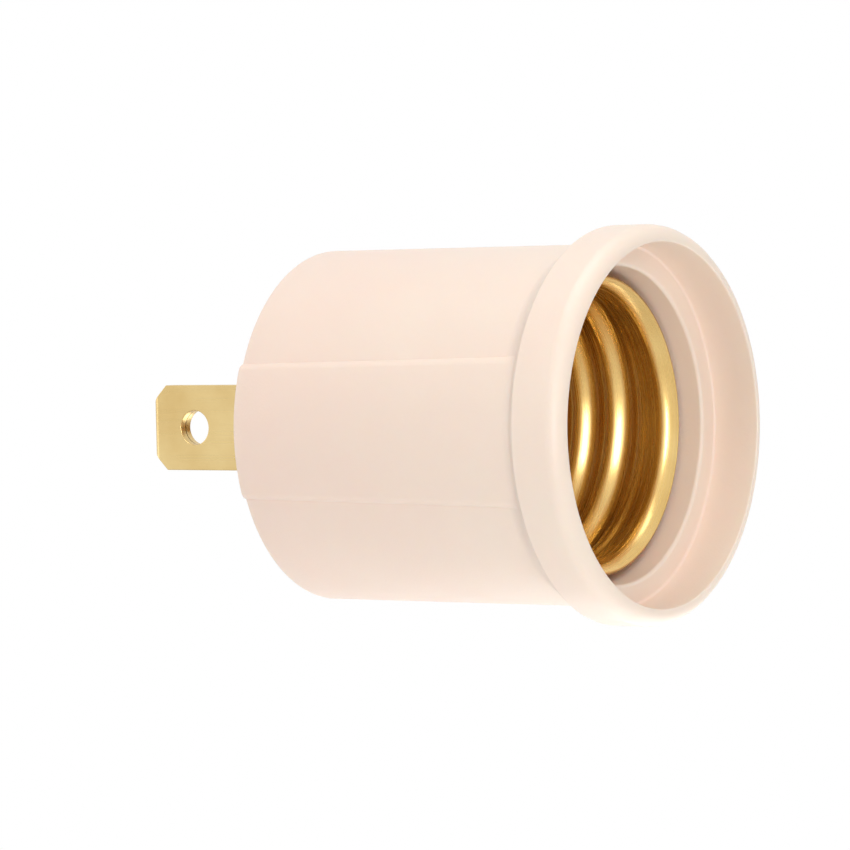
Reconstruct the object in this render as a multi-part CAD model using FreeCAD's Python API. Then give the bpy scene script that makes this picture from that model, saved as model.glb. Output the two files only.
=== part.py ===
import FreeCAD, Part
import math
import os
from FreeCAD import Vector

# A plug-in lamp socket adapter: a moulded barrel with a screw socket at its mouth and two plug
# blades at its back. Millimetres, +Z up. The axis is Y: the origin is the centre of the plug
# face, the blades point to +Y and the mouth opens to -Y. "Depth" is measured from the plug
# face towards the mouth.

# Barrel: two raised grip pads, left and right, with recessed fields above and below
pad_radius = 16.65
pad_height = 0.45
pad_count = 2
pad_angle = 45
pad_corner = 0.25
field_corner = 0.15
field_run_out = 0.8
back_edge_chamfer = 0.4
barrel_wall = 2.45

# Collar round the mouth
length = 35.3
collar_rise = 1.2
collar_length = 5.0
collar_edge_chamfer = 0.3
collar_cove_slope = 60
collar_front_round = 1.5
collar_wall = 1.58
mouth_depth = 4.6
mouth_edge_chamfer = 0.15
bore_lip_chamfer = 0.4

# Inner floor of the housing, with the wiring space behind it
floor_thickness = 2.0
wiring_depth = 2.4
barrier_radius = 7.7
barrier_wall = 0.8
barrier_height = 1.4
rib_width = 1.0
rib_height = 1.3
rib_clearance = 0.2

# Cover let into the back of the housing, on a ledge all round
cover_thickness = 1.8
cover_rim_wall = 1.85
cover_ledge = 0.9
cover_clearance = 0.1
cover_edge = 0.25
slot_clearance = 0.15
guide_wall = 0.8
guide_height = 0.8

# Plug blades, each folded from one brass strip with its inner end bent out as a foot
blade_spacing = 12.7
sheet_thickness = 0.75
blade_length = 16.6
neutral_width = 7.94
hot_width = 6.35
blade_corner = 1.6
blade_hole_radius = 1.6
blade_hole_reach = 11.7
foot_margin = 2.55
foot_bend_radius = 0.5

# Rolled screw shell, with a medium screw thread of 26 mm and 7 turns to the inch
shell_wall = 0.4
shell_clearance = 0.6
thread_depth = 0.8
thread_pitch = 3.629
thread_turns = 4
thread_start = 4.6
shell_height = 22.6
shell_opening_clearance = 0.3
shell_corner = 0.6
lip_flare = 0.7
lip_length = 1.4

# Spring contact on the axis, with a domed pad
contact_thickness = 0.4
contact_width = 4.6
contact_tail = 2.3
contact_fold_x = -4.6
contact_rise = 2.5
contact_tip_x = 2.6
contact_tip_run = 1.0
contact_tip_drop = 0.7
contact_pad_radius = 1.3
contact_pad_height = 0.35

# Tubular rivets
rivet_radius = 1.2
rivet_bore = 0.75
rivet_head_radius = 1.6
rivet_head = 0.6
rivet_tail = 0.5
rivet_hole_clearance = 0.05
rivet_boss_wall = 0.5
shell_rivet_inset = 2.3
contact_rivet_reach = 3.75

# Screws that hold the cover
screw_radius = 1.0
screw_head_radius = 1.9
screw_head_sink = 0.2
screw_length = 5.0
screw_recess = 0.6
screw_recess_width = 0.5
screw_hole_clearance = 0.2
screw_pilot_clearance = 0.02
screw_pilot_spare = 0.3
screw_boss_radius = 2.2
screw_boss_clearance = 0.8

AXIS = Vector(0, 1, 0)
ORIGIN = Vector(0, 0, 0)

# The collar, the bore, the shell in it, the cover and the mouth follow the outside of the barrel
field_radius = pad_radius - pad_height
collar_radius = pad_radius + collar_rise
barrel_bore_radius = pad_radius - barrel_wall
mouth_radius = collar_radius - collar_wall
cover_radius = pad_radius - cover_rim_wall
wiring_radius = cover_radius - cover_ledge
thread_inner_radius = barrel_bore_radius - shell_clearance - thread_depth - shell_wall
shell_opening = barrier_radius + shell_opening_clearance
floor_back = cover_thickness + wiring_depth
floor_front = floor_back + floor_thickness

# Each rivet also holds a blade by its foot, so the feet reach past the rivets
blade_thickness = 2 * sheet_thickness
neutral_x = -blade_spacing / 2
hot_x = blade_spacing / 2
shell_rivet_x = shell_rivet_inset - thread_inner_radius
contact_rivet_x = hot_x - contact_rivet_reach
blades = (
    (neutral_x, neutral_width, shell_rivet_x),
    (hot_x, hot_width, contact_rivet_x),
)

# The countersinks are at 90 degrees, so a cone is as deep as its radius changes
screw_offset = wiring_radius - screw_boss_radius - screw_boss_clearance
screw_hole_radius = screw_radius + screw_hole_clearance
sink_cone = screw_head_radius - screw_hole_radius
screw_cone = screw_head_radius - screw_radius


def on_section(depth, radius):
    """A point of the half section through the axis."""
    return Vector(radius, -depth, 0)


def rounded_wire(corners, place):
    """A closed wire through corners of (u, v, round), each rounded by its own radius."""
    flat = [Vector(u, v, 0) for u, v, _ in corners]
    ends = []
    for i, (_, _, radius) in enumerate(corners):
        before = (flat[i - 1] - flat[i]).normalize()
        after = (flat[(i + 1) % len(flat)] - flat[i]).normalize()
        if radius == 0:
            ends.append((flat[i], None, flat[i]))
            continue
        half = before.getAngle(after) / 2
        middle = (before + after).normalize()
        reach = radius / math.tan(half)
        top = flat[i] + middle * (radius / math.sin(half) - radius)
        ends.append((flat[i] + before * reach, top, flat[i] + after * reach))
    edges = []
    for i, (start, top, end) in enumerate(ends):
        a, b = place(start.x, start.y), place(end.x, end.y)
        if top is not None:
            edges.append(Part.Arc(a, place(top.x, top.y), b).toShape())
        following = ends[(i + 1) % len(ends)][0]
        c = place(following.x, following.y)
        if b.distanceToPoint(c) > 1e-7:
            edges.append(Part.LineSegment(b, c).toShape())
    return Part.Wire(edges)


def turned(corners):
    """A solid of revolution about the axis from a half section of (depth, radius, round)."""
    return Part.Face(rounded_wire(corners, on_section)).revolve(ORIGIN, AXIS, 360)


def post(x, z, radius, depth_from, depth_to):
    """A round post, or the space of a round hole, parallel to the axis."""
    height = depth_to - depth_from
    return Part.makeCylinder(radius, height, Vector(x, -depth_from, z), -AXIS)


def block(x_from, x_to, depth_from, depth_to, z_from, z_to):
    """A rectangular block given by its two corners."""
    corner = Vector(x_from, -depth_to, z_from)
    return Part.makeBox(x_to - x_from, depth_to - depth_from, z_to - z_from, corner)


def round_the_axis(radius, angle):
    """A point of the cross section in the plane of the plug face."""
    return Vector(radius * math.cos(angle), 0, radius * math.sin(angle))


def step_corner(arc_radius, corner, side, line_angle):
    """Where a corner round leaves the arc, its middle, and where it meets the radial step."""
    centre_radius = arc_radius - side * corner
    turn = math.asin(corner / centre_radius)
    centre = round_the_axis(centre_radius, line_angle + turn)
    on_arc = round_the_axis(arc_radius, line_angle + turn)
    on_step = round_the_axis(centre_radius * math.cos(turn), line_angle)
    outward = (on_arc - centre) + (on_step - centre)
    return on_arc, centre + outward.normalize() * corner, on_step


def mirrored(points, line_angle):
    """The same corner on the other side of the radial line at line_angle."""
    normal = round_the_axis(1, line_angle + math.pi / 2)
    return [p - normal * (2 * p.dot(normal)) for p in points]


def barrel_section():
    """The outline of the barrel: pads and fields in turn, with rounded steps between them."""
    pitch = 360 / pad_count
    edges = []
    for i in range(pad_count):
        middle = math.radians(i * pitch)
        low = middle - math.radians(pad_angle / 2)
        high = middle + math.radians(pad_angle / 2)
        pad_low = step_corner(pad_radius, pad_corner, 1, low)
        pad_high = mirrored(step_corner(pad_radius, pad_corner, 1, high), high)
        field_low = step_corner(field_radius, field_corner, -1, high)
        field_high = mirrored(step_corner(field_radius, field_corner, -1, low), low)
        next_field = [
            FreeCAD.Rotation(AXIS, -pitch).multVec(p) for p in field_high
        ]
        edges.append(Part.LineSegment(field_high[2], pad_low[2]))
        edges.append(Part.Arc(pad_low[2], pad_low[1], pad_low[0]))
        edges.append(Part.Arc(pad_low[0], round_the_axis(pad_radius, middle), pad_high[0]))
        edges.append(Part.Arc(pad_high[0], pad_high[1], pad_high[2]))
        edges.append(Part.LineSegment(pad_high[2], field_low[2]))
        edges.append(Part.Arc(field_low[2], field_low[1], field_low[0]))
        field_middle = round_the_axis(field_radius, middle + math.radians(pitch / 2))
        edges.append(Part.Arc(field_low[0], field_middle, next_field[0]))
        edges.append(Part.Arc(next_field[0], next_field[1], next_field[2]))
    return Part.Wire([edge.toShape() for edge in edges])


def barrel():
    """The gripped barrel as a solid bar with its back edge broken."""
    grip_end = length - collar_length
    bar = Part.Face(barrel_section()).extrude(-AXIS * grip_end)
    edge_break = turned(
        [
            (0, 0, 0),
            (0, pad_radius - back_edge_chamfer, 0),
            (back_edge_chamfer, pad_radius, 0),
            (grip_end, pad_radius, 0),
            (grip_end, 0, 0),
        ]
    )
    return bar.common(edge_break)


def collar():
    """The thick ring round the mouth. A cove in two flanks leads up to it from the pads."""
    back = length - collar_length
    slope = math.radians(collar_cove_slope)
    cove_radius = (collar_rise - collar_edge_chamfer) / (1 - math.cos(slope))
    cove_from = back - cove_radius * math.sin(slope)
    cove_middle = cove_from + cove_radius * math.sin(slope / 2)
    cove_lift = cove_radius * (1 - math.cos(slope / 2))
    return turned(
        [
            (cove_from - field_run_out, 0, 0),
            (cove_from - field_run_out, field_radius, 0),
            (cove_from, pad_radius, 0),
            (cove_middle, pad_radius + cove_lift, 0),
            (back, collar_radius - collar_edge_chamfer, 0),
            (back + collar_edge_chamfer, collar_radius, 0),
            (length, collar_radius, collar_front_round),
            (length, 0, 0),
        ]
    )


def mouth_space():
    """Everything open towards the mouth: the wide mouth and the bore for the screw shell."""
    mouth_floor = length - mouth_depth
    beyond = length + 1
    return turned(
        [
            (floor_front, 0, 0),
            (floor_front, barrel_bore_radius, 0),
            (mouth_floor - bore_lip_chamfer, barrel_bore_radius, 0),
            (mouth_floor, barrel_bore_radius + bore_lip_chamfer, 0),
            (mouth_floor, mouth_radius, 0),
            (length - mouth_edge_chamfer, mouth_radius, 0),
            (length, mouth_radius + mouth_edge_chamfer, 0),
            (beyond, mouth_radius + mouth_edge_chamfer, 0),
            (beyond, 0, 0),
        ]
    )


def back_space():
    """The seat of the cover and the wiring space behind it."""
    seat = post(0, 0, cover_radius + cover_clearance, -1, cover_thickness)
    return seat.fuse(post(0, 0, wiring_radius, 0, floor_back))


def floor_posts():
    """What stands on the inner floor: bosses and ribs at the back, the barrier in front."""
    boss_radius = rivet_head_radius + rivet_boss_wall
    posts = [post(-shell_rivet_x, 0, boss_radius, floor_back - sheet_thickness, floor_back)]
    for side in (-1, 1):
        boss = post(0, side * screw_offset, screw_boss_radius, cover_thickness, floor_back)
        posts.append(boss)
    for blade_x, width, rivet_x in blades:
        rib_from = rivet_x - foot_margin
        rib_to = blade_x - blade_thickness / 2 - foot_bend_radius
        inner = width / 2 + rib_clearance
        for low in (inner, -inner - rib_width):
            rib = block(
                rib_from, rib_to, floor_back - rib_height, floor_back, low, low + rib_width
            )
            posts.append(rib.common(post(0, 0, wiring_radius, 0, floor_back)))
    outer = post(0, 0, barrier_radius, floor_front, floor_front + barrier_height)
    inner_space = post(
        0, 0, barrier_radius - barrier_wall, floor_front, floor_front + barrier_height
    )
    posts.append(outer.cut(inner_space))
    return posts


def floor_holes():
    """Rivet holes through the floor and blind pilot holes for the cover screws."""
    rivet_hole = rivet_radius + rivet_hole_clearance
    holes = [
        post(x, 0, rivet_hole, cover_thickness, floor_front)
        for x in (shell_rivet_x, -shell_rivet_x, contact_rivet_x)
    ]
    pilot_end = screw_head_sink + screw_length + screw_pilot_spare
    for side in (-1, 1):
        pilot = screw_radius + screw_pilot_clearance
        holes.append(post(0, side * screw_offset, pilot, cover_thickness, pilot_end))
    return holes


def housing():
    """One moulding: gripped barrel, collar, inner floor with its bosses, ribs and barrier."""
    body = barrel().fuse(collar())
    body = body.cut([mouth_space(), back_space()])
    body = body.fuse(floor_posts())
    body = body.cut(floor_holes())
    return body.removeSplitter()


def rear_cover():
    """The disc that closes the wiring space, with guides round the two blade slots."""
    disc = turned(
        [
            (0, 0, 0),
            (0, cover_radius - cover_edge, 0),
            (cover_edge, cover_radius, 0),
            (cover_thickness, cover_radius, 0),
            (cover_thickness, 0, 0),
        ]
    )
    slots = []
    guides = []
    for blade_x, width, _ in blades:
        half_x = blade_thickness / 2 + slot_clearance
        half_z = width / 2 + slot_clearance
        guide_end = cover_thickness + guide_height
        slots.append(block(blade_x - half_x, blade_x + half_x, -1, guide_end + 1, -half_z, half_z))
        guide_x = half_x + guide_wall
        guide_z = half_z + guide_wall
        guides.append(
            block(blade_x - guide_x, blade_x + guide_x, 0, guide_end, -guide_z, guide_z)
        )
    screw_holes = []
    for side in (-1, 1):
        hole = turned(
            [
                (-1, 0, 0),
                (-1, screw_head_radius, 0),
                (screw_head_sink, screw_head_radius, 0),
                (screw_head_sink + sink_cone, screw_hole_radius, 0),
                (cover_thickness + 1, screw_hole_radius, 0),
                (cover_thickness + 1, 0, 0),
            ]
        )
        hole.translate(Vector(0, 0, side * screw_offset))
        screw_holes.append(hole)
    return disc.fuse(guides).cut(slots + screw_holes).removeSplitter()


def cover_screws():
    """Two countersunk self-tapping screws with a cross recess."""
    recess_depth = screw_head_sink + screw_recess
    screws = []
    for side in (-1, 1):
        screw = turned(
            [
                (screw_head_sink, 0, 0),
                (screw_head_sink, screw_head_radius, 0),
                (screw_head_sink + screw_cone, screw_radius, 0),
                (screw_head_sink + screw_length, screw_radius, 0),
                (screw_head_sink + screw_length, 0, 0),
            ]
        )
        half = screw_recess_width / 2
        arm = screw_head_radius * 0.6
        cross = block(-arm, arm, 0, recess_depth, -half, half).fuse(
            block(-half, half, 0, recess_depth, -arm, arm)
        )
        screw = screw.cut(cross)
        screw.translate(Vector(0, 0, side * screw_offset))
        screws.append(screw)
    return Part.makeCompound(screws)


def folded_blade(blade_x, width, rivet_x):
    """A strip folded back on itself at the tip, with one leaf bent out as the riveted foot."""
    half = sheet_thickness
    foot_reach = blade_x - rivet_x + foot_margin
    inner_end = floor_back - sheet_thickness - foot_bend_radius
    leaf = [
        (-half, inner_end, 0),
        (-half, -blade_length, sheet_thickness * 0.98),
        (half, -blade_length, sheet_thickness * 0.98),
        (half, floor_back - sheet_thickness, foot_bend_radius),
        (foot_reach, floor_back - sheet_thickness, 0),
        (foot_reach, floor_back, 0),
        (0, floor_back, foot_bend_radius + sheet_thickness),
        (0, inner_end, 0),
    ]
    side_view = rounded_wire(leaf, lambda u, depth: Vector(blade_x - u, -depth, -width / 2))
    blade = Part.Face(side_view).extrude(Vector(0, 0, width))
    tips = []
    for side in (-1, 1):
        tip = rounded_wire(
            [
                (blade_length - blade_corner, side * width / 2, 0),
                (blade_length + 1, side * width / 2, 0),
                (blade_length + 1, side * (width / 2 - blade_corner - 1), 0),
            ],
            lambda y, z: Vector(blade_x - 2 * half, y, z),
        )
        tips.append(Part.Face(tip).extrude(Vector(4 * half, 0, 0)))
    eye = Part.makeCylinder(
        blade_hole_radius,
        4 * half,
        Vector(blade_x - 2 * half, blade_hole_reach, 0),
        Vector(1, 0, 0),
    )
    hole_radius = rivet_radius + rivet_hole_clearance
    rivet_hole = post(rivet_x, 0, hole_radius, cover_thickness, floor_front)
    return blade.cut(tips + [eye, rivet_hole])


def shell_skin(offset):
    """One skin of the screw shell from its floor to its rim, as corners of the half section."""
    wall = thread_inner_radius + offset
    bend = floor_front + shell_wall + shell_corner
    rim = floor_front + shell_height
    corners = [
        (floor_front + shell_wall - offset, shell_opening, 0),
        (floor_front + shell_wall - offset, wall - shell_corner, 0),
        (bend, wall, 0),
    ]
    for i in range(2 * thread_turns + 1):
        depth = floor_front + thread_start + i * thread_pitch / 2
        corners.append((depth, wall + thread_depth * (i % 2), 0))
    corners.append((rim - lip_length, wall, 0))
    corners.append((rim, wall + lip_flare, 0))
    return corners


def screw_shell():
    """Thin drawn cup with a rolled thread: its ridges are level rings at the thread's pitch."""
    cup = turned(shell_skin(shell_wall) + shell_skin(0)[::-1])
    holes = [
        post(x, 0, rivet_radius + rivet_hole_clearance, floor_back, floor_front + 1)
        for x in (shell_rivet_x, -shell_rivet_x)
    ]
    return cup.cut(holes)


def centre_contact():
    """A strip folded back over its riveted tail, so that its free end can spring."""
    base_in = floor_front + contact_thickness
    top = floor_front + contact_rise
    tail_x = contact_rivet_x + contact_tail
    tip_bend_x = contact_tip_x - contact_tip_run
    outer_round = contact_rise / 2
    inner_round = outer_round - contact_thickness
    fold_in = contact_fold_x + contact_thickness
    strip = [
        (tail_x, floor_front, 0),
        (contact_fold_x, floor_front, outer_round * 0.98),
        (contact_fold_x, top, outer_round * 0.98),
        (tip_bend_x, top, contact_thickness),
        (contact_tip_x, top - contact_tip_drop, 0),
        (contact_tip_x - contact_thickness / 2, top - contact_tip_drop - contact_thickness, 0),
        (tip_bend_x - contact_thickness / 2, top - contact_thickness, 0),
        (fold_in, top - contact_thickness, inner_round * 0.95),
        (fold_in, base_in, inner_round * 0.95),
        (tail_x, base_in, 0),
    ]
    side_view = rounded_wire(strip, lambda x, depth: Vector(x, -depth, -contact_width / 2))
    leaf = Part.Face(side_view).extrude(Vector(0, 0, contact_width))
    pad = turned(
        [
            (top - contact_thickness / 2, 0, 0),
            (top - contact_thickness / 2, contact_pad_radius, 0),
            (top, contact_pad_radius, 0),
            (top + contact_pad_height, contact_pad_radius * 0.6, 0),
            (top + contact_pad_height, 0, 0),
        ]
    )
    hole = post(
        contact_rivet_x, 0, rivet_radius + rivet_hole_clearance, floor_back, base_in + 0.1
    )
    return leaf.fuse(pad).cut(hole).removeSplitter()


def rivet(x):
    """A tubular rivet: raised head on the mouth side, clinched tail on the blade side."""
    head_seat = floor_front + shell_wall
    tail_seat = floor_back - sheet_thickness
    solid = turned(
        [
            (tail_seat - rivet_tail, rivet_bore, 0),
            (tail_seat - rivet_tail, rivet_radius, 0),
            (tail_seat, rivet_head_radius, 0),
            (tail_seat, rivet_radius, 0),
            (head_seat, rivet_radius, 0),
            (head_seat, rivet_head_radius, 0),
            (head_seat + rivet_head, rivet_radius, 0),
            (head_seat + rivet_head, rivet_bore, 0),
        ]
    )
    solid.translate(Vector(x, 0, 0))
    return solid


def rivets():
    """Three alike: two through the floor of the shell, one through the tail of the contact."""
    return Part.makeCompound([rivet(x) for x in (shell_rivet_x, -shell_rivet_x, contact_rivet_x)])


nodes = {
    "housing": housing(),
    "rear_cover": rear_cover(),
    "cover_screws": cover_screws(),
    "neutral_blade": folded_blade(*blades[0]),
    "hot_blade": folded_blade(*blades[1]),
    "screw_shell": screw_shell(),
    "centre_contact": centre_contact(),
    "rivets": rivets(),
}
os.makedirs("parts", exist_ok=True)
for name, shape in nodes.items():
    shape.exportStep(f"parts/{name}.step")
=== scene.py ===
import math

import bmesh
import bpy
from mathutils import Matrix, Vector


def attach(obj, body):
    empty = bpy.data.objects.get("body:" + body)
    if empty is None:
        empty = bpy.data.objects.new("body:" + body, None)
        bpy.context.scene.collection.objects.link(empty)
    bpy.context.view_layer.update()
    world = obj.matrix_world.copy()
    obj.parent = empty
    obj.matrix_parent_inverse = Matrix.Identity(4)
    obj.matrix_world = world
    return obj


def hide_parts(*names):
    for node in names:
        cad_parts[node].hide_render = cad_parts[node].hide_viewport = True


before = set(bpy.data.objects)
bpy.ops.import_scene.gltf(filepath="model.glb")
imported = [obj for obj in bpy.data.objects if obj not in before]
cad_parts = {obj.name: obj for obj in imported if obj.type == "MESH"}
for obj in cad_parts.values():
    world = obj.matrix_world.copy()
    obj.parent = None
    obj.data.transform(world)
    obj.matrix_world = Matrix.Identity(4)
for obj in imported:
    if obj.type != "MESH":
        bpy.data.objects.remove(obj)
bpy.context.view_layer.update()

# Housing: one injection moulding in peach ivory thermoplastic, satin from a finely etched mould.
# Two gripping pads stand proud of the barrel, left and right, and the barrel rises over a cove
# into the thick collar round the mouth. Sizes are in millimetres; depth runs from the plug face.
per_metre = 1000
slack = 1e-3
near = 0.1
round_steps = 128
small_steps = 48
pad_radius = 16.65
field_radius = 16.2
pad_half_angle = 22.5
rounded_from = pad_half_angle - 360 / round_steps
plug_end_spread = -0.4
collar_end_spread = 1.3
collar_radius = 17.85
collar_edge = 0.3
mouth_radius = 16.27
bore_radius = 14.2
seat_radius = 14.9
wiring_radius = 13.9
barrier_radius = 7.7
barrier_wall = 0.8
length = 35.3
seat_depth = 1.8
collar_back = 30.3
cove_radius = 1.8
cove_slope = math.radians(60)
cove_from = collar_back - cove_radius * math.sin(cove_slope)
run_out_from = 28.1
run_out_share = 0.6
run_out_to = cove_from + cove_radius * math.sin(cove_slope * run_out_share)
ring_gap = 0.3
mouth_floor = 30.7
floor_back = 4.2
floor_front = 6.2
barrier_top = 7.6
boss_radius = 2.2
boss_height = 2.4
screw_offset = 10.9
upright = Matrix.Rotation(math.pi / 2, 4, "X")


def linear(level):
    """One display channel of 0 to 255 as the linear value that a shader takes."""
    level /= 255
    return level / 12.92 if level < 0.04045 else ((level + 0.055) / 1.055) ** 2.4


def colour(red, green, blue):
    return (linear(red), linear(green), linear(blue), 1)


def chain(mesh, corners, closed=False, place=lambda depth, radius: (radius, -depth, 0)):
    """Edges through (depth, radius, round) corners, each corner rounded by its own radius."""
    points = [mesh.verts.new(place(depth, radius)) for depth, radius, _ in corners]
    pairs = list(zip(points, points[1:]))
    if closed:
        pairs.append((points[-1], points[0]))
    for first, second in pairs:
        mesh.edges.new((first, second))
    whole = dict.fromkeys(points)
    for point, (_, _, rounding) in zip(points, corners):
        if rounding == 0:
            continue
        arms = [edge.other_vert(point).co - point.co for edge in point.link_edges]
        reach = rounding / math.tan(arms[0].angle(arms[1]) / 2)
        whole.pop(point)
        arc = bmesh.ops.bevel(
            mesh, geom=[point], offset=reach, segments=5, profile=0.5, affect="VERTICES",
            offset_type="OFFSET", material=-1,
        )
        whole.update(dict.fromkeys(arc["verts"]))
    edges = dict.fromkeys(edge for point in whole for edge in point.link_edges)
    return list(whole), list(edges)


def spun(mesh, geometry, steps):
    """The geometry turned once round the object's axis."""
    bmesh.ops.spin(
        mesh, geom=geometry, cent=(0, 0, 0), axis=(0, 1, 0), angle=2 * math.pi, steps=steps,
        use_merge=True,
    )


def turned(mesh, corners, steps=round_steps, closed=False):
    points, edges = chain(mesh, corners, closed)
    spun(mesh, points + edges, steps)


def tidy(mesh):
    bmesh.ops.remove_doubles(mesh, verts=mesh.verts[:], dist=1e-4)
    bmesh.ops.recalc_face_normals(mesh, faces=mesh.faces[:])


def new_corners(extruded):
    """The vertices that an extrusion has made."""
    return [item for item in extruded["geom"] if isinstance(item, bmesh.types.BMVert)]


def finished(mesh, name, material, slot, *nodes):
    """Brings the mesh from millimetres to its place in metres and makes the piece of it."""
    bmesh.ops.scale(mesh, vec=[1 / per_metre] * 3, verts=mesh.verts[:])
    data = bpy.data.meshes.new(name)
    mesh.to_mesh(data)
    mesh.free()
    data.shade_smooth()
    data.set_sharp_from_angle(angle=math.radians(40))
    data.materials.append(material)
    piece = bpy.data.objects.new(name, data)
    bpy.context.scene.collection.objects.link(piece)
    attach(piece, "root")
    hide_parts(*nodes)
    return piece


def even_normals(piece):
    piece.modifiers.new("even normals", "WEIGHTED_NORMAL").keep_sharp = True


def shader(name):
    """A new material with its surface shader and helpers that add and link nodes."""
    material = bpy.data.materials.new(name)
    material.use_nodes = True
    tree = material.node_tree
    surface = tree.nodes["Principled BSDF"]

    def add(kind, inputs=None, **settings):
        node = tree.nodes.new(kind)
        for key, value in settings.items():
            setattr(node, key, value)
        for key, value in (inputs or {}).items():
            if isinstance(value, bpy.types.NodeSocket):
                tree.links.new(value, node.inputs[key])
            else:
                node.inputs[key].default_value = value
        return node

    def join(source, target):
        tree.links.new(source, target)

    return material, surface, add, join


def speckle(add, place, scale, detail, low, high):
    """Noise of a given scale per metre, spread between two values."""
    noise = add("ShaderNodeTexNoise", {"Vector": place, "Scale": scale, "Detail": detail})
    spread = {
        "Value": noise.outputs["Fac"],
        "From Min": 0.3,
        "From Max": 0.7,
        "To Min": low,
        "To Max": high,
    }
    return add("ShaderNodeMapRange", spread).outputs["Result"]


def two_tones(add, share, first, second):
    """A mix of two colours; 6 and 7 are the node's colour inputs, and 2 is its colour output."""
    return add("ShaderNodeMix", {0: share, 6: first, 7: second}, data_type="RGBA").outputs[2]


def relief(add, height, depth, strength, below=None):
    """A bump of a given depth in metres, laid over the one below."""
    inputs = {"Height": height, "Distance": depth, "Strength": strength}
    if below is not None:
        inputs["Normal"] = below
    return add("ShaderNodeBump", inputs).outputs["Normal"]


# The moulding's colour flows a little at random. It also has a painted shade: warmer and darker at
# the plug face, fading to cream towards the mouth.
moulding, surface, add, join = shader("moulded peach ivory")
surface.inputs["IOR"].default_value = 1.49
surface.inputs["Subsurface Weight"].default_value = 0.22
surface.inputs["Subsurface Radius"].default_value = (1.0, 0.55, 0.32)
surface.inputs["Subsurface Scale"].default_value = 0.0022
place = add("ShaderNodeTexCoord").outputs["Object"]
flow = speckle(add, place, 95, 3, 0, 0.3)
along = add("ShaderNodeSeparateXYZ", {"Vector": place}).outputs["Y"]
# Painted shade along the axis: none of the creamier colour at the plug face, rising towards the
# mouth.
painted_shade_fade = add("ShaderNodeMapRange", {
    "Value": along,
    "From Min": 0.0,
    "From Max": -length / per_metre,
    "To Min": 0.0,
    "To Max": 0.7,
})
# The share of the creamier colour is the random flow plus the fading painted shade, so the mix
# below carries both.
share = add("ShaderNodeMath", {0: flow, 1: painted_shade_fade.outputs["Result"]}, operation="ADD").outputs[0]
tone_and_painted_shade = two_tones(add, share, colour(242, 217, 202), colour(242, 225, 209))
join(tone_and_painted_shade, surface.inputs["Base Color"])
join(speckle(add, place, 120, 2, 0.36, 0.43), surface.inputs["Roughness"])
ripple = relief(add, speckle(add, place, 150, 1, 0, 1), 0.0004, 0.1)
etching = relief(add, speckle(add, place, 3800, 2, 0, 1), 0.00004, 0.14, ripple)
join(etching, surface.inputs["Normal"])

housing = bmesh.new()
turned(
    housing,
    [
        (floor_back, 0, 0),
        (floor_back, wiring_radius, 0.3),
        (seat_depth, wiring_radius, 0),
        (seat_depth, seat_radius, 0),
        (0, seat_radius, 0),
        (0, field_radius, 0),
        (0, pad_radius, 0),
        (run_out_from, pad_radius, 0),
        (run_out_from + ring_gap, pad_radius, 0),
        (cove_from + cove_radius * math.tan(cove_slope / 2), pad_radius, cove_radius),
        (collar_back + collar_edge / math.tan(cove_slope), collar_radius, 0.36),
        (length, collar_radius, 1.5),
        (length, mouth_radius, 0.18),
        (mouth_floor, mouth_radius, 0.25),
        (mouth_floor, bore_radius, 0.35),
        (floor_front, bore_radius, 0.4),
        (floor_front, barrier_radius, 0.15),
        (barrier_top, barrier_radius, 0.2),
        (barrier_top, barrier_radius - barrier_wall, 0.2),
        (floor_front, barrier_radius - barrier_wall, 0.15),
        (floor_front, 0, 0),
    ],
)
tidy(housing)


def radius_of(point):
    return math.hypot(point.x, point.z)


def angle_of(point):
    """Degrees above or below the level of the axis."""
    return math.degrees(math.atan2(abs(point.z), abs(point.x)))


def between_pads(point):
    return angle_of(point) > pad_half_angle


def grip_radius(depth):
    """Radius of the pads at a depth, up the flank of the cove."""
    run = min(max(depth - cove_from, 0), cove_radius)
    return pad_radius + cove_radius - math.sqrt(cove_radius ** 2 - run ** 2)


def eased(value, low, high):
    """0 up to the low end, 1 from the high end, and a soft rise between them."""
    share = min(max((value - low) / (high - low), 0), 1)
    return share * share * (3 - 2 * share)


def widened(vertex, factor):
    """Moves a vertex straight out from the axis, or in towards it."""
    vertex.co.x *= factor
    vertex.co.z *= factor


# The fields between the pads are sunk. The faces they leave go, and so does the rim of the
# back face there, which the sunk fields cut off.
fields = []
for face in housing.faces:
    middle = face.calc_center_median()
    outside = radius_of(middle) > field_radius and between_pads(middle)
    if outside and -run_out_to < middle.y < -slack:
        fields.append(face)
sunk = bmesh.ops.extrude_face_region(housing, geom=fields)
inward = field_radius / pad_radius
bmesh.ops.scale(housing, vec=(inward, 1, inward), verts=new_corners(sunk))
covered = []
for face in housing.faces:
    middle = face.calc_center_median()
    if middle.y > -slack and radius_of(middle) > field_radius and between_pads(middle):
        covered.append(face)
covered += [face for face in fields if face.is_valid]
bmesh.ops.delete(housing, geom=covered, context="FACES_ONLY")
tidy(housing)

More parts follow.
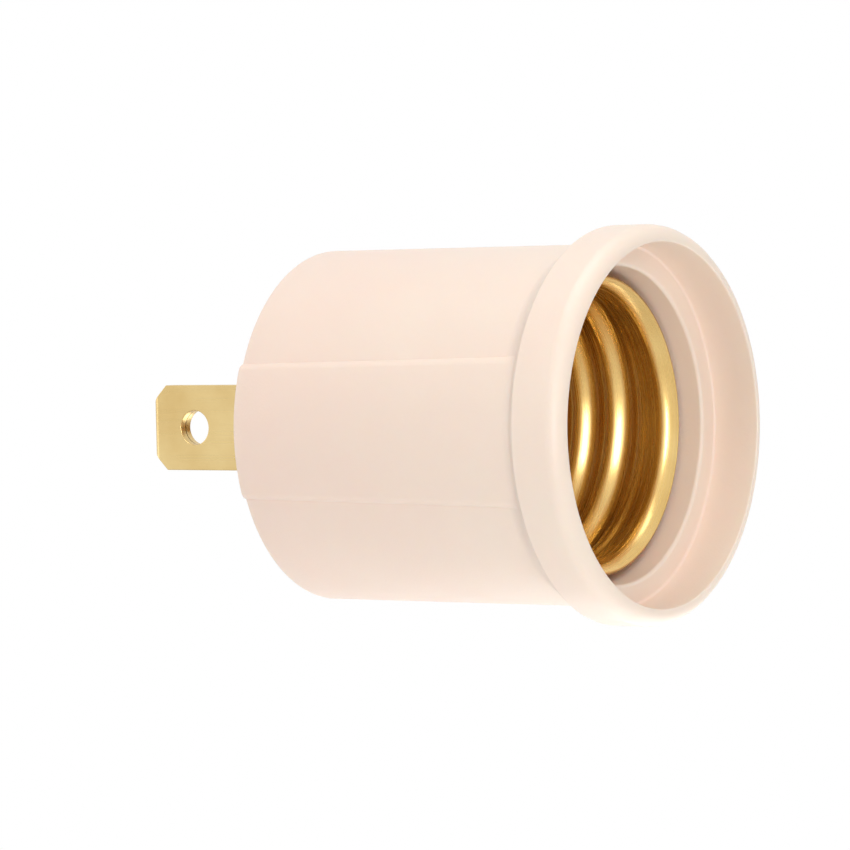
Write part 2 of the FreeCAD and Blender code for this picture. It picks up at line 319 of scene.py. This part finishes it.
# The last strip of each pad is divided and lowered along a round, as a soft crest.
edge_strips = []
for edge in housing.edges:
    low, high = sorted(angle_of(vertex.co) for vertex in edge.verts)
    depth = -edge.verts[0].co.y
    level = abs(edge.verts[0].co.y - edge.verts[1].co.y) < slack and depth < run_out_to + slack
    on_pad = min(radius_of(vertex.co) for vertex in edge.verts) > grip_radius(depth) - near
    at_edge = abs(low - rounded_from) < near and abs(high - pad_half_angle) < near
    if level and on_pad and at_edge:
        edge_strips.append(edge)
bmesh.ops.subdivide_edges(housing, edges=edge_strips, cuts=5)
step = pad_radius - field_radius
reach = pad_radius * math.radians(pad_half_angle - rounded_from)
edge_radius = (reach ** 2 + step ** 2) / (2 * step)
for vertex in housing.verts:
    angle = angle_of(vertex.co)
    depth = -vertex.co.y
    radius = radius_of(vertex.co)
    on_pad = depth < run_out_to + slack and radius > grip_radius(depth) - near
    if on_pad and rounded_from + near < angle < pad_half_angle + near:
        way = pad_radius * math.radians(angle - rounded_from)
        fall = edge_radius - math.sqrt(edge_radius ** 2 - way ** 2)
        widened(vertex, grip_radius(depth) * (1 - fall / pad_radius) / radius)
tidy(housing)

# The outer edges of the grip get a round, and then its inner corners a fine one.
crease = math.radians(50)
back_rim = 0.5
skin = 0.02
for width, segments, convex in ((0.3, 4, True), (0.05, 2, False)):
    creases = []
    for edge in housing.edges:
        first, second = (vertex.co for vertex in edge.verts)
        on_grip = max(-first.y, -second.y) < run_out_to + slack
        lengthwise = abs(first.y - second.y) > slack or max(first.y, second.y) > -back_rim
        outside = min(radius_of(first), radius_of(second)) >= field_radius - skin
        if not (on_grip and lengthwise and outside and edge.is_manifold):
            continue
        if edge.calc_face_angle(0) > crease and edge.is_convex == convex:
            creases.append(edge)
    bmesh.ops.bevel(
        housing, geom=creases, offset=width, segments=segments, profile=0.5, affect="EDGES",
        material=-1, clamp_overlap=True,
    )
    tidy(housing)

# The fields rise to the pads before the cove, so the steps beside the pads run out there.
for vertex in housing.verts:
    depth = -vertex.co.y
    radius = radius_of(vertex.co)
    if run_out_from < depth < run_out_to + slack and radius > field_radius - skin / 2:
        rise = (grip_radius(depth) - radius) * eased(depth, run_out_from, run_out_to)
        widened(vertex, 1 + rise / radius)

# The pads widen slightly towards the collar: their edges turn about the axis.
outer_wall = 0.4
for vertex in housing.verts:
    depth = -vertex.co.y
    radius = radius_of(vertex.co)
    if depth < collar_back and radius > field_radius - outer_wall:
        angle = angle_of(vertex.co)
        pull = min(angle / pad_half_angle, (90 - angle) / (90 - pad_half_angle))
        growth = (collar_end_spread - plug_end_spread) * min(depth / cove_from, 1)
        fade = 1 - eased(depth, cove_from, collar_back)
        angle += (plug_end_spread + growth) * pull * fade
        vertex.co.x = math.copysign(radius * math.cos(math.radians(angle)), vertex.co.x)
        vertex.co.z = math.copysign(radius * math.sin(math.radians(angle)), vertex.co.z)
tidy(housing)

for side in (-1, 1):
    middle = (0, -seat_depth - boss_height / 2, side * screw_offset)
    bmesh.ops.create_cone(
        housing, cap_ends=True, segments=small_steps, radius1=boss_radius, radius2=boss_radius,
        depth=boss_height, matrix=Matrix.Translation(middle) @ upright,
    )
even_normals(finished(housing, "housing_moulding", moulding, "moulding", "housing"))

# Screw shell: a cup drawn from thin brass and rolled with a right-handed thread of 7 turns to the
# inch. Its floor is riveted to the moulding, and its lip is flared outwards.
shell_floor = 6.6
shell_opening = 8.0
shell_rim = 28.8
shell_wall = 0.4
shell_steps = 144
lip_length = 1.5
lip_flare = 0.7
thread_crest = 12.4
thread_depth = 0.8
thread_pitch = 3.629
thread_from = 10.8
thread_to = 25.3
fade_out = 1.0
fade_in = 1.2
wall_play = 0.05


def metal(name, bright, dull, polish, stretch, marks):
    """A metal finish: two tones in patches, and fine tool marks drawn out along one direction."""
    material, surface, add, join = shader(name)
    surface.inputs["Metallic"].default_value = 1.0
    place = add("ShaderNodeTexCoord").outputs["Object"]
    drawn = add("ShaderNodeMapping", {"Vector": place, "Scale": stretch}).outputs["Vector"]
    tarnish = speckle(add, place, 180, 4, 0, 1)
    join(two_tones(add, tarnish, bright, dull), surface.inputs["Base Color"])
    join(speckle(add, drawn, 1000, 3, *polish), surface.inputs["Roughness"])
    pitted = relief(add, speckle(add, place, 2600, 2, 0, 1), 0.00001, marks)
    scored = relief(add, speckle(add, drawn, 1000, 3, 0, 1), 0.00002, marks, pitted)
    join(scored, surface.inputs["Normal"])
    return material


rolled_brass = metal(
    "rolled brass", colour(236, 203, 134), colour(222, 184, 114), (0.2, 0.32), (0.02, 5, 0.02),
    0.1,
)

shell = bmesh.new()
_, edges = chain(
    shell,
    [
        (shell_floor, shell_opening, 0),
        (shell_floor, thread_crest, 0.7),
        (shell_rim - lip_length, thread_crest, 0.9),
        (shell_rim, thread_crest + lip_flare, 0),
    ],
)
wall = max(edges, key=lambda edge: edge.calc_length())
bmesh.ops.subdivide_edges(shell, edges=[wall], cuts=138)
spun(shell, shell.verts[:] + shell.edges[:], shell_steps)
tidy(shell)

for vertex in shell.verts:
    depth = -vertex.co.y
    radius = radius_of(vertex.co)
    threaded = thread_from - fade_in < depth < thread_to + fade_in
    if not threaded or radius < thread_crest - wall_play:
        continue
    turn = math.atan2(vertex.co.z, vertex.co.x) / (2 * math.pi)
    wave = 0.5 - 0.5 * math.cos(2 * math.pi * ((depth - thread_from) / thread_pitch - turn))
    share = eased(depth, thread_from - fade_out, thread_from + fade_in)
    share *= 1 - eased(depth, thread_to - fade_in, thread_to + fade_out)
    widened(vertex, (radius + thread_depth * wave * share) / radius)

# The faces look towards the axis, so the wall gets its thickness on the outer side.
shell.normal_update()
probe = max(shell.faces, key=lambda face: radius_of(face.calc_center_median()))
middle = probe.calc_center_median()
if probe.normal.x * middle.x + probe.normal.z * middle.z > 0:
    bmesh.ops.reverse_faces(shell, faces=shell.faces[:])
shell_piece = finished(shell, "rolled_shell", rolled_brass, "shell_brass", "screw_shell")
thickening = shell_piece.modifiers.new("sheet", "SOLIDIFY")
thickening.thickness = shell_wall / per_metre
thickening.offset = -1
thickening.use_even_offset = True

# Plug blades: each is one strip of half-hard brass folded back on itself, so a fine seam shows
# along its edges. The inner end of one leaf is bent out as the riveted foot, the tip corners
# are cropped, and a round eye is punched near the tip.
strip = 0.75
blade_length = 16.6
leaf_end = 2.95
crop = 1.6
eye_radius = 1.6
eye_reach = 11.7
punch_length = 4
seam = 0.04
blades = (
    ("neutral_blade", -6.35, 7.94, -12.65),
    ("hot_blade", 6.35, 6.35, 0.05),
)


def solid_of(mesh, corners, low, high):
    """A closed outline in depth and x, drawn through from z low to z high."""
    _, edges = chain(mesh, corners, closed=True, place=lambda depth, x: (x, -depth, low))
    face = bmesh.ops.contextual_create(mesh, geom=edges)["faces"]
    through = bmesh.ops.extrude_face_region(mesh, geom=face)
    bmesh.ops.translate(mesh, vec=(0, 0, high - low), verts=new_corners(through))
    bmesh.ops.recalc_face_normals(mesh, faces=mesh.faces[:])


def trimmed(mesh, other, operation="DIFFERENCE"):
    """The mesh with the other one cut away from it, or joined to it."""
    pair = []
    for each in (mesh, other):
        data = bpy.data.meshes.new("raw")
        each.to_mesh(data)
        pair.append(bpy.data.objects.new("raw", data))
        bpy.context.scene.collection.objects.link(pair[-1])
    trim = pair[0].modifiers.new("trim", "BOOLEAN")
    trim.object = pair[1]
    trim.operation = operation
    trim.solver = "EXACT"
    bpy.context.view_layer.update()
    result = pair[0].evaluated_get(bpy.context.evaluated_depsgraph_get())
    mesh.clear()
    mesh.from_mesh(result.to_mesh())
    result.to_mesh_clear()
    for each in pair:
        data = each.data
        bpy.data.objects.remove(each)
        bpy.data.meshes.remove(data)
    other.free()


def broken_edges(mesh, width, segments=2, wanted=lambda edge: True):
    """Rounds the sharp edges by a small width, and clears the slivers that this leaves."""
    sharp = [
        edge for edge in mesh.edges
        if len(edge.link_faces) == 2 and edge.calc_face_angle(0) > math.radians(35) and wanted(edge)
    ]
    bmesh.ops.bevel(
        mesh, geom=sharp, offset=width, segments=segments, profile=0.5, affect="EDGES",
        material=-1, clamp_overlap=True,
    )
    bmesh.ops.dissolve_degenerate(mesh, dist=2e-4, edges=mesh.edges[:])


strip_brass = metal(
    "drawn strip brass", colour(228, 203, 146), colour(214, 184, 124), (0.24, 0.38), (3, 0.06, 3),
    0.14,
)

for node, blade_x, width, foot_end in blades:
    blade = bmesh.new()
    solid_of(
        blade,
        [
            (leaf_end, blade_x + strip, 0),
            (-blade_length, blade_x + strip, strip * 0.95),
            (-blade_length, blade_x - strip, strip * 0.95),
            (floor_back - strip, blade_x - strip, 0.5),
            (floor_back - strip, foot_end, 0),
            (floor_back, foot_end, 0),
            (floor_back, blade_x - seam, 1.2),
            (-blade_length + strip, blade_x - seam, 0),
            (-blade_length + strip, blade_x + seam, 0),
            (leaf_end, blade_x + seam, 0),
        ],
        -width / 2, width / 2,
    )
    for side in (-1, 1):
        cut = bmesh.ops.bisect_plane(
            blade, geom=blade.verts[:] + blade.edges[:] + blade.faces[:], dist=1e-5,
            plane_co=(0, blade_length - crop, side * width / 2), plane_no=(0, 1, side),
            clear_outer=True,
        )
        opened = [item for item in cut["geom_cut"] if isinstance(item, bmesh.types.BMEdge)]
        bmesh.ops.contextual_create(blade, geom=opened)
    tidy(blade)
    punch = bmesh.new()
    eye = Matrix.Translation((blade_x, eye_reach, 0))
    bmesh.ops.create_cone(
        punch, cap_ends=True, segments=small_steps, radius1=eye_radius, radius2=eye_radius,
        depth=punch_length, matrix=eye @ Matrix.Rotation(math.pi / 2, 4, "Y"),
    )
    trimmed(blade, punch)
    broken_edges(
        blade, 0.1, 3,
        lambda edge: all(abs(vertex.co.x - blade_x) > seam * 1.5 for vertex in edge.verts),
    )
    even_normals(finished(blade, node + "_strip", strip_brass, "blade_brass", node))

# Rear cover: a disc of the same moulding, let into the back and held by two screws. Guides on
# its inner side line the two blade slots.
cover_radius = 14.8
guide = {"margin": 0.95, "deep": 2.6, "operation": "UNION"}
slot = {"margin": 0.15, "deep": 6, "operation": "DIFFERENCE"}
screw_steps = 64
head_sink = 0.2
sink_radius = 1.9
sink_end = 0.9
hole_radius = 1.2
hole_end = 3

cover = bmesh.new()
bmesh.ops.create_circle(
    cover, cap_ends=True, segments=round_steps, radius=cover_radius, matrix=upright,
)
inner_side = bmesh.ops.extrude_face_region(cover, geom=cover.faces[:])
bmesh.ops.translate(cover, vec=(0, -seat_depth, 0), verts=new_corners(inner_side))
tidy(cover)
for _, blade_x, width, _ in blades:
    for shape in (guide, slot):
        block = bmesh.new()
        bmesh.ops.create_cube(block, size=1)
        margin = shape["margin"]
        size = (2 * (strip + margin), shape["deep"], width + 2 * margin)
        bmesh.ops.scale(block, vec=size, verts=block.verts[:])
        middle = -shape["deep"] / 2 if shape is guide else 0
        bmesh.ops.translate(block, vec=(blade_x, middle, 0), verts=block.verts[:])
        trimmed(cover, block, shape["operation"])
for side in (-1, 1):
    sink = bmesh.new()
    turned(
        sink,
        [
            (-1, 0, 0),
            (-1, sink_radius, 0),
            (head_sink, sink_radius, 0),
            (sink_end, hole_radius, 0),
            (hole_end, hole_radius, 0),
            (hole_end, 0, 0),
        ],
        screw_steps,
    )
    bmesh.ops.translate(sink, vec=(0, 0, side * screw_offset), verts=sink.verts[:])
    tidy(sink)
    trimmed(cover, sink)
broken_edges(cover, 0.14, 3)
even_normals(finished(cover, "cover_disc", moulding, "moulding", "rear_cover"))

# Cover screws: zinc-plated steel, countersunk, with a cross recess, cutting their own thread in
# the two bosses of the housing. Each stops at its own angle.
head_radius = 1.86
head_end = 1.1
shank_radius = 1.0
shank_end = 4.6
point_radius = 0.4
screw_end = 5.2
wing_size = (2.3, 1.6, 0.48)
wing_taper = (0.45, 1, 0.7)
zinc = metal(
    "zinc plate", colour(206, 208, 211), colour(184, 187, 192), (0.26, 0.4), (1, 1, 1), 0.12,
)
screws = bmesh.new()
for side in (-1, 1):
    screw = bmesh.new()
    turned(
        screw,
        [
            (head_sink, 0, 0),
            (head_sink, head_radius, 0.1),
            (head_end, shank_radius, 0),
            (shank_end, shank_radius, 0),
            (screw_end, point_radius, 0),
            (screw_end, 0, 0),
        ],
        screw_steps,
    )
    tidy(screw)
    for turn in (0, 90):
        wing = bmesh.new()
        bmesh.ops.create_cube(wing, size=1)
        bmesh.ops.scale(wing, vec=wing_size, verts=wing.verts[:])
        low = [vertex for vertex in wing.verts if vertex.co.y < 0]
        bmesh.ops.scale(wing, vec=wing_taper, verts=low)
        quarter = Matrix.Rotation(math.radians(turn), 3, "Y")
        bmesh.ops.rotate(wing, matrix=quarter, verts=wing.verts[:])
        trimmed(screw, wing)
    broken_edges(screw, 0.05)
    stopped = Matrix.Rotation(math.radians(20 + 47 * side), 3, "Y")
    bmesh.ops.rotate(screw, matrix=stopped, verts=screw.verts[:])
    bmesh.ops.translate(screw, vec=(0, 0, side * screw_offset), verts=screw.verts[:])
    made = bpy.data.meshes.new("raw")
    screw.to_mesh(made)
    screws.from_mesh(made)
    screw.free()
    bpy.data.meshes.remove(made)
even_normals(finished(screws, "recessed_screws", zinc, "screw_steel", "cover_screws"))

# Centre contact: a leaf of spring bronze folded back over its riveted tail, with a domed pad
# raised on its free end, on the axis.
contact_width = 4.6
contact_sheet = 0.4
contact_top = 8.7
tail_x = 4.9
fold_x = -4.6
bronze = metal(
    "spring bronze", colour(214, 164, 116), colour(196, 142, 96), (0.26, 0.4), (0.1, 3, 3), 0.12,
)
leaf = bmesh.new()
solid_of(
    leaf,
    [
        (floor_front, tail_x, 0),
        (floor_front, fold_x, 1.2),
        (contact_top, fold_x, 1.2),
        (contact_top, 1.6, 0.4),
        (8.0, 2.6, 0),
        (7.6, 2.4, 0),
        (contact_top - contact_sheet, 1.4, 0),
        (contact_top - contact_sheet, fold_x + contact_sheet, 0.8),
        (floor_front + contact_sheet, fold_x + contact_sheet, 0.8),
        (floor_front + contact_sheet, tail_x, 0),
    ],
    -contact_width / 2, contact_width / 2,
)
broken_edges(leaf, 0.07)
dome = bmesh.new()
turned(
    dome,
    [(8.5, 0, 0), (8.5, 1.35, 0), (8.72, 1.3, 0.1), (9.05, 0.75, 0.4), (9.05, 0, 0)],
    small_steps,
)
tidy(dome)
trimmed(leaf, dome, "UNION")
even_normals(finished(leaf, "spring_leaf", bronze, "contact_bronze", "centre_contact"))

# Rivets: three alike, tubular and nickel-plated, headed on the mouth side and clinched at the
# back. Two go through the floor of the screw shell and one through the contact's tail, and two of
# them hold the blades' feet as well.
rivet_places = (-10.1, 2.6, 10.1)
rivet_bore = 0.75
rivet_radius = 1.2
rivet_head_radius = 1.6
rivet_crown_radius = 1.25
rivet_tail = 2.95
rivet_top = 7.2
nickel = metal(
    "nickel plate", colour(214, 208, 196), colour(192, 186, 174), (0.2, 0.34), (1, 1, 1), 0.1,
)
rivets = bmesh.new()
for rivet_x in rivet_places:
    before = set(rivets.verts)
    turned(
        rivets,
        [
            (rivet_tail, rivet_bore, 0.12),
            (rivet_tail, rivet_radius, 0.15),
            (floor_back - strip, rivet_head_radius, 0),
            (floor_back - strip, rivet_radius, 0),
            (shell_floor, rivet_radius, 0),
            (shell_floor, rivet_head_radius, 0.08),
            (rivet_top, rivet_crown_radius, 0.3),
            (rivet_top, rivet_bore, 0.15),
        ],
        small_steps, closed=True,
    )
    fresh = [vertex for vertex in rivets.verts if vertex not in before]
    bmesh.ops.translate(rivets, vec=(rivet_x, 0, 0), verts=fresh)
tidy(rivets)
even_normals(finished(rivets, "tubular_rivets", nickel, "rivet_nickel", "rivets"))

# Studio: plain white paper far below the object, which hangs in the air, and even light all
# round, with a large soft light above, a tall one in front and weak ones behind and below.
# The camera has the photograph's eye point and direction, and a longer lens.
floor_level = -0.120
floor_reach = 4.0
fade_from = 0.12
fade_to = 0.5
all_round = 0.45
middle_of_barrel = Vector((0, -0.01, 0))

ground = bpy.data.meshes.new("floor")
plane = bmesh.new()
bmesh.ops.create_grid(plane, x_segments=1, y_segments=1, size=floor_reach)
bmesh.ops.translate(plane, vec=(0, 0, floor_level), verts=plane.verts[:])
plane.to_mesh(ground)
plane.free()
floor = bpy.data.objects.new("floor", ground)
bpy.context.scene.collection.objects.link(floor)

# The paper fades to plain white away from the object, for the camera and for reflections alone.
paper, surface, add, join = shader("white paper")
surface.inputs["Base Color"].default_value = (0.93, 0.93, 0.93, 1)
surface.inputs["Roughness"].default_value = 0.9
surface.inputs["Specular IOR Level"].default_value = 0.1
place = add("ShaderNodeTexCoord").outputs["Object"]
parts = add("ShaderNodeSeparateXYZ", {"Vector": place}).outputs
flat = add("ShaderNodeCombineXYZ", {"X": parts["X"], "Y": parts["Y"]}).outputs["Vector"]
away = add("ShaderNodeVectorMath", {0: flat}, operation="LENGTH").outputs["Value"]
fade = add(
    "ShaderNodeMapRange", {"Value": away, "From Min": fade_from, "From Max": fade_to},
    interpolation_type="SMOOTHSTEP",
).outputs["Result"]
rays = add("ShaderNodeLightPath").outputs
seen = add(
    "ShaderNodeMath", {0: rays["Is Camera Ray"], 1: rays["Is Glossy Ray"]}, operation="MAXIMUM",
).outputs[0]
whiteness = add("ShaderNodeMath", {0: seen, 1: fade}, operation="MULTIPLY").outputs[0]
white = add("ShaderNodeEmission", {"Strength": 1.0}).outputs[0]
blend = add("ShaderNodeMixShader", {0: whiteness, 1: surface.outputs["BSDF"], 2: white})
output = next(node for node in paper.node_tree.nodes if node.type == "OUTPUT_MATERIAL")
join(blend.outputs["Shader"], output.inputs["Surface"])
ground.materials.append(paper)

world = bpy.data.worlds.new("studio")
bpy.context.scene.world = world
world.use_nodes = True
tree = world.node_tree
background = tree.nodes["Background"]
background.inputs["Color"].default_value = (1, 1, 1, 1)
rays = tree.nodes.new("ShaderNodeLightPath")
seen = tree.nodes.new("ShaderNodeMath")
seen.operation = "MAXIMUM"
tree.links.new(rays.outputs["Is Camera Ray"], seen.inputs[0])
tree.links.new(rays.outputs["Is Glossy Ray"], seen.inputs[1])
level = tree.nodes.new("ShaderNodeMapRange")
level.inputs["To Min"].default_value = all_round
level.inputs["To Max"].default_value = 1.0
tree.links.new(seen.outputs[0], level.inputs["Value"])
tree.links.new(level.outputs["Result"], background.inputs["Strength"])


def softbox(name, at, wide, high, watts):
    """A soft light turned towards the barrel, which the camera doesn't see."""
    light = bpy.data.lights.new(name, "AREA")
    light.shape = "RECTANGLE"
    light.size = wide
    light.size_y = high
    light.energy = watts
    box = bpy.data.objects.new(name, light)
    box.location = at
    box.rotation_euler = (middle_of_barrel - Vector(at)).to_track_quat("-Z", "Y").to_euler()
    box.visible_camera = False
    bpy.context.scene.collection.objects.link(box)


softbox("top", (-0.05, -0.08, 0.55), 0.45, 0.45, 1.75)
softbox("tall front", (-0.44, -0.40, 0.08), 0.05, 0.36, 1.25)
softbox("behind", (-0.20, 0.42, 0.10), 0.20, 0.30, 0.18)
softbox("low", (0.06, -0.02, -0.10), 0.12, 0.12, 0.095)

eye = Vector((-0.32287, -0.22923, 0.01341))
aim = Vector((0, -0.0095, 0))
roll = math.radians(-1.24)
lens = bpy.data.cameras.new("camera")
lens.lens = 180
lens.clip_start = 0.01
camera = bpy.data.objects.new("camera", lens)
turn = (aim - eye).to_track_quat("-Z", "Y").to_matrix() @ Matrix.Rotation(roll, 3, "Z")
camera.matrix_world = Matrix.Translation(eye) @ turn.to_4x4()
bpy.context.scene.collection.objects.link(camera)
bpy.context.scene.camera = camera
bpy.context.scene.view_settings.view_transform = "Standard"
